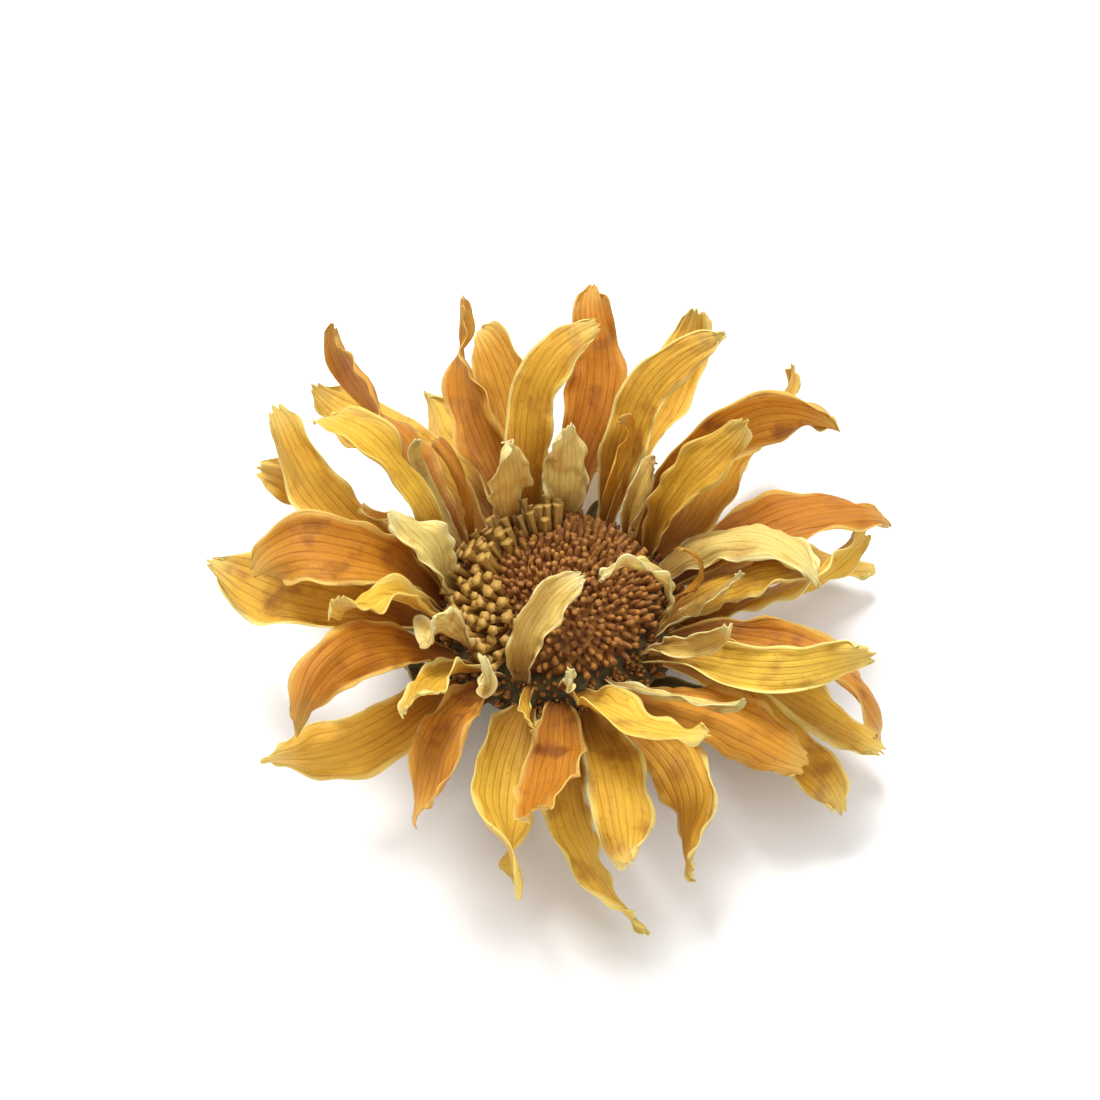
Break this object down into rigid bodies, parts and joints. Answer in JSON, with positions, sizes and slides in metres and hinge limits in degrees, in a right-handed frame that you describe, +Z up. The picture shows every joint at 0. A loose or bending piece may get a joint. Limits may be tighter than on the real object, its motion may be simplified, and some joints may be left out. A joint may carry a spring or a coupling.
{
  "type": "dried marigold flower head",
  "caption": "A dried marigold flower head with golden strap petals curling round a brown granular disc, narrow olive bracts and a plucked cup underneath.",
  "frame": {"origin": "centre of the flat underside of the cup, on the surface that the head rests on", "axes": "+Z up out of the disc, -Y the side that faces the viewer, +X to the viewer's right"},
  "size_m": [0.0509, 0.0506, 0.0198],
  "materials": {
    "petal_gold": "thin dry petal, golden ochre with fine parallel veins and pale edges",
    "petal_orange": "thin dry petal, orange brown with darker base and veins",
    "petal_straw": "thin dry petal, bleached straw yellow",
    "bract_olive": "dry hairy leaflet, grey olive with pale membrane edges",
    "disc_brown": "crust of small dry florets, reddish brown with tan tips",
    "cup_green": "dry fleshy cup, dull olive with brown wrinkles"
  },
  "bodies": {
    "root": {"receptacle": "cup_green", "disc_florets": "disc_brown", "bract_01": "bract_olive", "bract_02": "bract_olive", "bract_03": "bract_olive", "bract_04": "bract_olive", "bract_05": "bract_olive", "bract_06": "bract_olive", "bract_07": "bract_olive", "bract_08": "bract_olive", "bract_09": "bract_olive", "bract_10": "bract_olive", "petal_across": "petal_straw", "petal_folded": "petal_straw", "petal_inner_02": "petal_straw", "petal_inner_03": "petal_straw", "petal_inner_04": "petal_straw", "petal_inner_05": "petal_straw", "petal_loop": "petal_straw", "petal_low_01": "petal_gold", "petal_low_02": "petal_gold", "petal_low_03": "petal_gold", "petal_low_04": "petal_gold", "petal_low_05": "petal_gold", "petal_low_07": "petal_gold", "petal_low_08": "petal_gold", "petal_low_09": "petal_gold", "petal_low_10": "petal_gold", "petal_mid_01": "petal_orange", "petal_mid_02": "petal_orange", "petal_mid_03": "petal_orange", "petal_mid_04": "petal_orange", "petal_mid_05": "petal_orange", "petal_mid_06": "petal_orange", "petal_mid_07": "petal_orange", "petal_mid_08": "petal_orange", "petal_mid_09": "petal_orange", "petal_mid_10": "petal_orange", "petal_mid_11": "petal_orange", "petal_rise_01": "petal_gold", "petal_rise_02": "petal_gold", "petal_rise_03": "petal_gold", "petal_rise_04": "petal_gold", "petal_rise_05": "petal_gold", "petal_rise_06": "petal_gold", "petal_rise_07": "petal_gold", "petal_rise_08": "petal_gold", "petal_rise_09": "petal_gold", "petal_spread_01": "petal_gold", "petal_spread_02": "petal_gold", "petal_spread_03": "petal_gold", "petal_spread_04": "petal_gold", "petal_spread_05": "petal_gold", "petal_spread_06": "petal_gold", "petal_spread_08": "petal_gold", "petal_spread_09": "petal_gold", "petal_spread_10": "petal_gold", "petal_spread_11": "petal_gold"}
  },
  "joints": []
}
